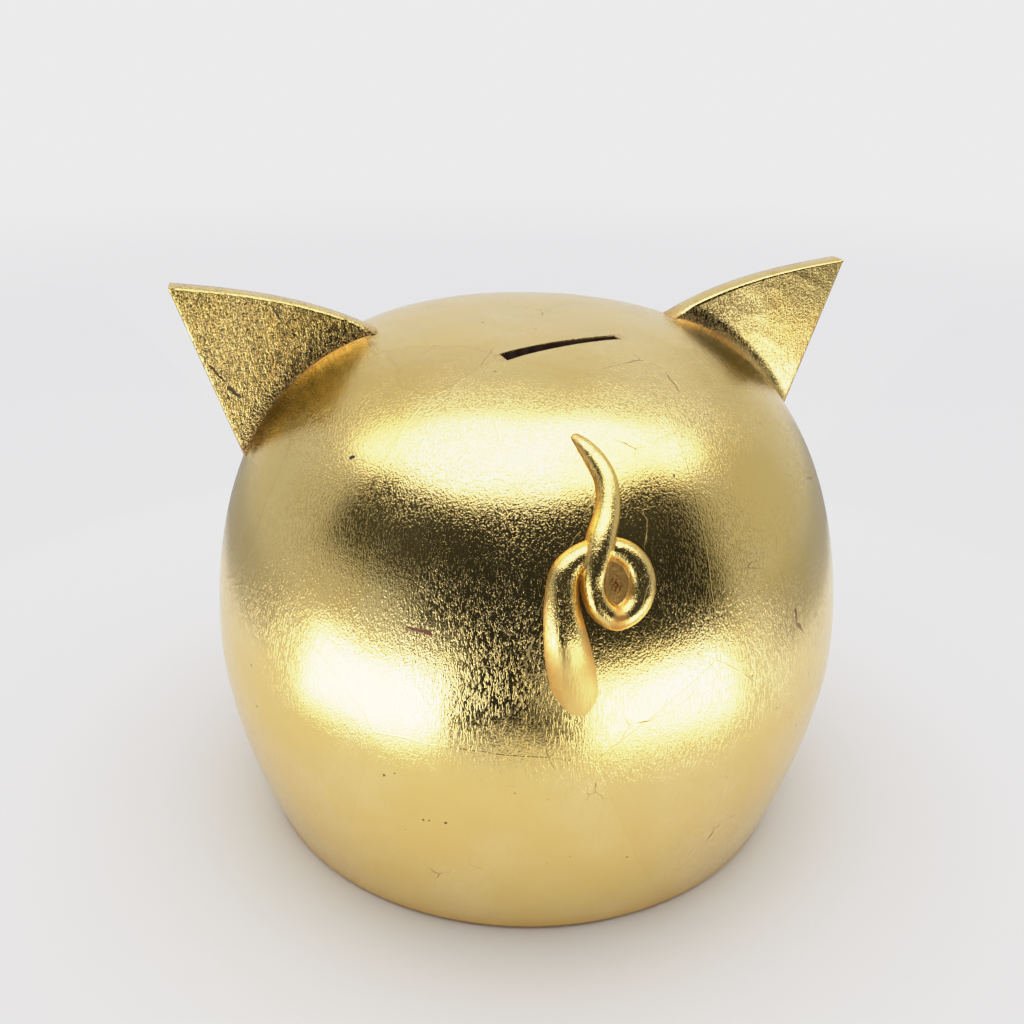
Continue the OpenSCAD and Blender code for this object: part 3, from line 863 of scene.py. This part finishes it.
def tail():
    """The relief as one closed solid: a fine height field over the ball and a back just inside it."""
    step = 0.36 * MM
    line = outline(76 * MM, 160 * MM, step)
    arc = np.arange(-24 * MM, 34 * MM, step)
    turn = arc / BALL_R * 1.06
    normals = outline_normals(line)
    r, z = line[:, 0][:, None], line[:, 1][:, None]
    surface = np.stack([r * np.sin(turn), r * np.cos(turn), z + 0 * turn], -1).reshape(-1, 3)
    out_r, out_z = normals[:, 0][:, None], normals[:, 1][:, None]
    out = np.stack([out_r * np.sin(turn), out_r * np.cos(turn), out_z + 0 * turn], -1).reshape(-1, 3)
    # the strand, whose front part crosses over its back part
    path = spline(TAIL_BACK + TAIL_FRONT[1:], SPAN_POINTS)
    crossing = SPAN_POINTS * (len(TAIL_BACK) - 1)
    back = strand_height(surface, path[:crossing + 1])
    back -= ROOT_SINK * np.clip((93 * MM - surface[:, 2]) / (9 * MM), 0, 1)
    front = strand_height(surface, path[crossing:])
    both = soft_max(front, back, 0.5 * MM)
    # the root melts into the ball, most on the side away from +X
    melt = np.clip((103 * MM - surface[:, 2]) / (14 * MM), 0, 1)
    melt *= np.clip(0.75 - (surface[:, 0] - ROOT_X) / (9 * MM), 0.3, 1)
    in_loop = np.linalg.norm((surface[:, [0, 2]] - LOOP_AT) / LOOP_HALF, axis=1)
    both = np.where(in_loop < 1.3, np.maximum(both, LOOP_FILLER * (1.3 - in_loop)), both)
    height = soft_max(both, np.full(len(both), SUNK), (2.0 + 1.8 * melt) * MM)
    keep = (height > SUNK + 0.02 * MM).reshape(len(line), len(turn))
    top = surface + out * (height + uneven(surface))[:, None]
    obj, used = grid_solid("tail_relief", top, surface - out * TAIL_BACK_DEPTH, keep)
    # painted shade: the skirt and the crossing are darkened as crevices, and the loop's middle gets the
    # darkest painted shade
    shade = np.clip(1 - (height - SUNK) / (2.4 * MM), 0, 1) ** 1.2
    between = np.clip(1 - np.abs(front - back) / (1.6 * MM), 0, 1) * (np.maximum(front, back) > 0.5 * MM)
    crevice_shade = np.maximum(shade * (1 - 0.8 * np.minimum(1.6 * melt, 1)), 0.8 * between)
    crevice_shade = np.maximum(crevice_shade, np.clip(1.15 - in_loop, 0, 1))
    masks = {"crevice_shade": crevice_shade, "wear": 0.25 * crevice_shade, "painted_shade": np.clip(0.75 - in_loop, 0, 1) * 1.8,
             "matte": np.clip((107 * MM - surface[:, 2]) / (8 * MM), 0, 1)}
    for mask, values in masks.items():
        set_mask(obj, mask, np.tile(values, 2)[used])
    paint(obj, "trim")
    sharpen(obj, 60)
    return obj


# ---- snout and eyes ----

def toward_front(points, height):
    """Turns something made about Z so that it points along -Y at a height."""
    x, y, z = points.T
    return np.column_stack([x, -z, y + height])


SNOUT_R, SNOUT_EDGE = 25 * MM, 3 * MM
NOSTRIL_X, NOSTRIL_NARROW, NOSTRIL_TALL = 9 * MM, 0.9, 1.25
# in millimetres: distance from the nostril's middle and height over the snout's front
NOSTRIL = ((0, -5), (2.2, -4.6), (3.2, -3.4), (3.4, -1.6), (3.7, -0.7), (4.6, 0.1), (6.0, 0.8), (0, 0.8))
EYE_R, EYE_RISE, EYE_PEG = 5 * MM, 3 * MM, -2.5 * MM
EYE_X, EYE_Z = 30 * MM, 124 * MM
EYE_TILT = 90 - 26  # degrees from straight up to square to the ball


def snout():
    """A turned disc with a soft front edge, a slightly hollow face and two nostrils."""
    low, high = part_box("snout")
    front = -low.y - 0.4 * MM
    middle = 0.5 * (low.z + high.z)
    neck_r = SNOUT_R + 1.0 * MM
    profile = [[0, front - 24 * MM], [SNOUT_R * 0.9, front - 24 * MM], [neck_r, front - 20 * MM]]
    profile += [[neck_r - 1.6 * MM * math.sin(math.pi * t), front - 20 * MM + 16 * MM * t]
                for t in np.linspace(0.08, 1, 16)]
    face_r = SNOUT_R - SNOUT_EDGE
    profile += [[face_r + SNOUT_EDGE * math.cos(a), front - SNOUT_EDGE + SNOUT_EDGE * math.sin(a)]
                for a in np.linspace(0, 0.5 * math.pi, 10)]
    profile += [[r, front - 0.5 * MM * (1 - r / face_r)] for r in np.linspace(face_r, 0, 30)[1:]]
    verts, faces = lathe(profile, 160)
    obj = new_object("snout_gilded", toward_front(verts, middle), faces)
    for side in (-1, 1):
        cutter_profile = [[r * MM, front + over * MM] for r, over in NOSTRIL]
        v, f = lathe(cutter_profile, 48, closed=False)
        v[:, 0] = v[:, 0] * NOSTRIL_NARROW + side * NOSTRIL_X
        v[:, 1] *= NOSTRIL_TALL
        cut(obj, new_object("nostril_cutter", toward_front(v, middle), f, smooth=False))
    co = coordinates(obj)
    co = co + np.column_stack([np.zeros(len(co)), uneven(co * 1.3), np.zeros(len(co))])
    obj.data.vertices.foreach_set("co", co.ravel())
    beside, above = np.abs(co[:, 0]) - NOSTRIL_X, co[:, 2] - middle
    from_nostril = np.hypot(beside / NOSTRIL_NARROW, above / NOSTRIL_TALL)
    in_hole = (from_nostril < 4.2 * MM) & (co[:, 1] < -front + 5.5 * MM)
    to_ball = -co[:, 1] - np.sqrt(np.maximum(ball_radius(co[:, 2]) ** 2 - co[:, 0] ** 2, 0))
    root = np.clip(1 - to_ball / (5 * MM), 0, 1)
    # painted shade at the root against the ball and inside the nostrils
    set_mask(obj, "crevice_shade", np.maximum(0.8 * root ** 1.5, np.where(in_hole, 0.9, 0)))
    set_mask(obj, "wear", np.where(in_hole & (co[:, 1] > -front + 2 * MM), 0.8, 0.3 * root ** 3))
    paint(obj, "trim")
    sharpen(obj, 45)
    return obj


def eye(name, node):
    """A small turned button with a rounded edge, set square to the ball."""
    low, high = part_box(node)
    side = math.copysign(1, low.x + high.x)
    profile = [[0, EYE_PEG], [EYE_R * 0.98, EYE_PEG]]
    profile += [[EYE_R * math.cos(a) ** 0.8, EYE_RISE * math.sin(a) ** 0.9]
                for a in np.linspace(0, 0.5 * math.pi, 18)[:-1]]
    profile += [[0, EYE_RISE]]
    verts, faces = lathe(profile, 64)
    at_r = ball_radius(np.array([EYE_Z]))[0]
    turn = side * math.asin(EYE_X / at_r)
    place = (Matrix.Rotation(turn, 4, "Z") @ Matrix.Translation((0, -at_r, EYE_Z))
             @ Matrix.Rotation(math.radians(EYE_TILT), 4, "X"))
    verts = np.array([place @ Vector(v) for v in verts])
    obj = new_object(name, verts, faces)
    from_top = np.linalg.norm(verts - np.array(place @ Vector((0, 0, EYE_RISE))), axis=1)
    # painted shade round the button's rim, where it meets the ball
    set_mask(obj, "crevice_shade", np.clip((from_top - 4.6 * MM) / (1.2 * MM), 0, 1) * 0.8)
    paint(obj, "trim")
    return obj


# ---- stage ----

CAMERA_AT = (0.868, 3.153, 2.408)  # in ball radii, from the middle of the resting face
CAMERA_TURN = 164.6  # degrees about Z from looking along +Y
CAMERA_DOWN = 24.32
CAMERA_YAW = -0.86
CAMERA_ROLL = 0.82
LENS = 38.67  # millimetres


def make_camera():
    """The camera, which looks down on the bank from the tail's side."""
    data = bpy.data.cameras.new("camera")
    data.lens = LENS
    data.sensor_width = 36
    obj = bpy.data.objects.new("camera", data)
    bpy.context.scene.collection.objects.link(obj)
    yaw, down, roll = (math.radians(a) for a in (CAMERA_YAW, CAMERA_DOWN, CAMERA_ROLL))
    ahead = Vector((math.sin(yaw) * math.cos(down), math.cos(yaw) * math.cos(down), -math.sin(down)))
    right = Vector((math.cos(yaw), -math.sin(yaw), 0))
    up = right.cross(ahead)
    across = right * math.cos(roll) + up * math.sin(roll)
    upward = up * math.cos(roll) - right * math.sin(roll)
    turn = Matrix.Rotation(math.radians(CAMERA_TURN), 3, "Z")
    axes = Matrix([turn @ across, turn @ upward, -(turn @ ahead)]).transposed()
    obj.matrix_world = Matrix.Translation(Vector(CAMERA_AT) * BALL_R) @ axes.to_4x4()
    bpy.context.scene.camera = obj


CARD_POINTS = 25


def glossy_only(obj):
    """Makes obj a studio card: reflections see it, the camera, the table and its shadow don't."""
    obj.visible_camera = False
    obj.visible_diffuse = False
    obj.visible_shadow = False


def card(name, azimuths, near, far, brightness):
    """A bent studio card between two arcs about the ball, near and far being (distance, height).

    Azimuths are in degrees from the camera's side, positive to the picture's right.
    """
    turns = np.radians(np.linspace(*azimuths, CARD_POINTS))
    points = [(d * math.sin(a), -d * math.cos(a), z) for d, z in (near, far) for a in turns]
    studio_card(name, points, brightness)


def ceiling_card(height, width, near, far, brightness):
    """The bright ceiling in reflections, level, from near to far on the camera's side of the ball."""
    across = np.linspace(-0.5 * width, 0.5 * width, CARD_POINTS)
    studio_card("ceiling", [(x, -d, height) for d in (near, far) for x in across], brightness)


def studio_card(name, points, brightness):
    """Two rows of points joined to a card. A bright one lightens reflections and a dark one is a flag."""
    turn = Matrix.Rotation(math.radians(CAMERA_TURN), 3, "Z")
    row = range(CARD_POINTS - 1)
    faces = [(i, i + 1, i + 1 + CARD_POINTS, i + CARD_POINTS) for i in row]
    obj = new_object(name, [turn @ Vector(p) for p in points], faces)
    nodes = material_nodes(name)
    glow = nodes.add("ShaderNodeEmission", {"Color": (1, 1, 1, 1), "Strength": brightness})
    obj.data.materials.append(nodes.output(glow.outputs[0]))
    glossy_only(obj)


def overhead_softbox(height, width, near, far, radiance):
    """A level softbox that lights the table. Reflections see a ceiling card in its place."""
    data = bpy.data.lights.new("overhead", "AREA")
    data.shape = "RECTANGLE"
    data.size, data.size_y = width, far - near
    data.energy = radiance * math.pi * width * (far - near)
    data.color = (1.0, 0.985, 1.0)
    obj = bpy.data.objects.new("overhead", data)
    bpy.context.scene.collection.objects.link(obj)
    turn = Matrix.Rotation(math.radians(CAMERA_TURN), 4, "Z")
    obj.matrix_world = turn @ Matrix.Translation((0, -0.5 * (near + far), height))
    obj.visible_glossy = False


def make_floor():
    """A plain pale table that fades into the studio, and is seen through from below."""
    verts, faces = lathe([[0, 0], [0.5, 0], [1, 0], [4, 0]], 96, closed=False)
    obj = new_object("floor", verts, faces)
    if obj.data.polygons[0].normal.z < 0:
        obj.data.flip_normals()
    n = material_nodes("floor")
    tone = n.noise(n.place(), 0.35, 3.0)
    base = n.mix(tone, (0.765, 0.765, 0.775, 1), (0.785, 0.785, 0.79, 1))
    shader = n.add("ShaderNodeBsdfPrincipled", {"Base Color": base, "Roughness": 0.6})
    clear = n.add("ShaderNodeBsdfTransparent")
    back = n.add("ShaderNodeNewGeometry").outputs["Backfacing"]
    away = n.ramp(n.vector("LENGTH", n.place(), output="Value"), 0.25, 1.5)
    pick = n.add("ShaderNodeMixShader", {0: n.math("MAXIMUM", back, away), 1: shader.outputs[0],
                                         2: clear.outputs[0]})
    obj.data.materials.append(n.output(pick.outputs[0]))


def make_world():
    """A pale studio: a dim even light on the table, and pale walls in reflections."""
    world = bpy.data.worlds.new("studio")
    bpy.context.scene.world = world
    n = Nodes(world)
    rays = n.add("ShaderNodeLightPath")
    way = n.add("ShaderNodeTexCoord").outputs["Generated"]
    turn = math.radians(CAMERA_TURN)
    ahead = n.vector("DOT_PRODUCT", way, (-math.sin(turn), math.cos(turn), 0.0), "Value")
    rise = n.add("ShaderNodeSeparateXYZ", {0: way}).outputs["Z"]
    overhead = n.math("MULTIPLY", n.ramp(rise, 0.55, 0.85), 0.6)
    behind = n.math("MAXIMUM", n.ramp(ahead, 0.45, 0.97), overhead)
    walls = n.mix(behind, (0.58, 0.585, 0.59, 1), (0.80, 0.80, 0.81, 1))
    backdrop = n.mix(rays.outputs["Is Camera Ray"], (0.31, 0.31, 0.32, 1), (0.955, 0.955, 0.985, 1))
    light = n.mix(rays.outputs["Is Glossy Ray"], backdrop, walls)
    sky = n.add("ShaderNodeBackground", {"Color": light, "Strength": 1.0})
    n.output(sky.outputs[0], "ShaderNodeOutputWorld")


BRIGHTEST = 3.0
# light and how bright it shows, straight at first and then a shoulder
SHOWN = ((0.35, 0.35), (0.70, 0.69), (0.95, 0.83), (1.4, 0.90), (2.1, 0.94))
STRAIGHT_POINTS = 3


def expose():
    """A photographic shoulder, so that bright reflections pale towards cream before they clip."""
    view = bpy.context.scene.view_settings
    view.view_transform = "Standard"
    view.use_curve_mapping = True
    mapping = view.curve_mapping
    mapping.white_level = (BRIGHTEST, BRIGHTEST, BRIGHTEST)
    curve = mapping.curves[3]  # the one that all three colours share
    curve.points[0].location = (0, 0)
    curve.points[1].location = (1, 0.97)
    for light, shown in SHOWN:
        curve.points.new(light / BRIGHTEST, shown)
    for point in curve.points[:STRAIGHT_POINTS]:
        point.handle_type = "VECTOR"
    mapping.update()


make_camera()
expose()
make_world()
make_floor()
overhead_softbox(height=1.2, width=2.6, near=-1.05, far=0.80, radiance=1.66)
ceiling_card(height=1.2, width=2.7, near=-0.12, far=1.10, brightness=3.0)
# name, azimuths, (distance, height) of the near and far arcs, brightness
card("flag_behind_camera", (-22, 70), (0.9, 0.0), (0.9, 1.13), 0.02)
card("flag_to_the_left", (-38, -22), (0.9, 0.09), (0.9, 0.98), 0.03)
card("flag_far_left", (-76, -38), (0.9, 0.25), (0.9, 0.98), 0.05)
card("flag_on_table", (-20, 15), (0.27, 0.0006), (0.40, 0.0006), 0.02)
card("flag_across_table", (-20, 5), (0.40, 0.0006), (0.9, 0.0006), 0.02)
card("grey_left", (-150, -84), (0.30, 0.0005), (0.9, 0.0005), 0.42)
card("grey_right", (84, 150), (0.30, 0.0005), (0.9, 0.0005), 0.42)
card("reflector_left", (-66, -22), (0.25, 0.0005), (0.40, 0.042), 5.0)
card("reflector_right", (19, 62), (0.25, 0.0005), (0.40, 0.042), 4.2)


# ---- pieces ----

pieces = {
    "upper_shell": upper_shell(),
    "lower_shell": lower_shell(),
    "ear_left": ear("ear_left_gilded", -1, gouges=0.12, seed=SEED + 3, root_shade=0, top_shade=0.9),
    "ear_right": ear("ear_right_gilded", 1, gouges=0.4, seed=SEED + 4, root_shade=0.95, top_shade=0.6),
    "tail": tail(),
    "snout": snout(),
    "eye_left": eye("eye_left_gilded", "eye_left"),
    "eye_right": eye("eye_right_gilded", "eye_right"),
}
paint(pieces["ear_left"], "ear_left")
paint(pieces["ear_right"], "ear_right")
for node, piece in pieces.items():
    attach(piece, "body")
    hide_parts(node)

for node in ("ear_left_dowels", "ear_right_dowels", "snout_dowel"):
    paint(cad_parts[node], "wood")
paint(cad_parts["stopper"], "rubber")
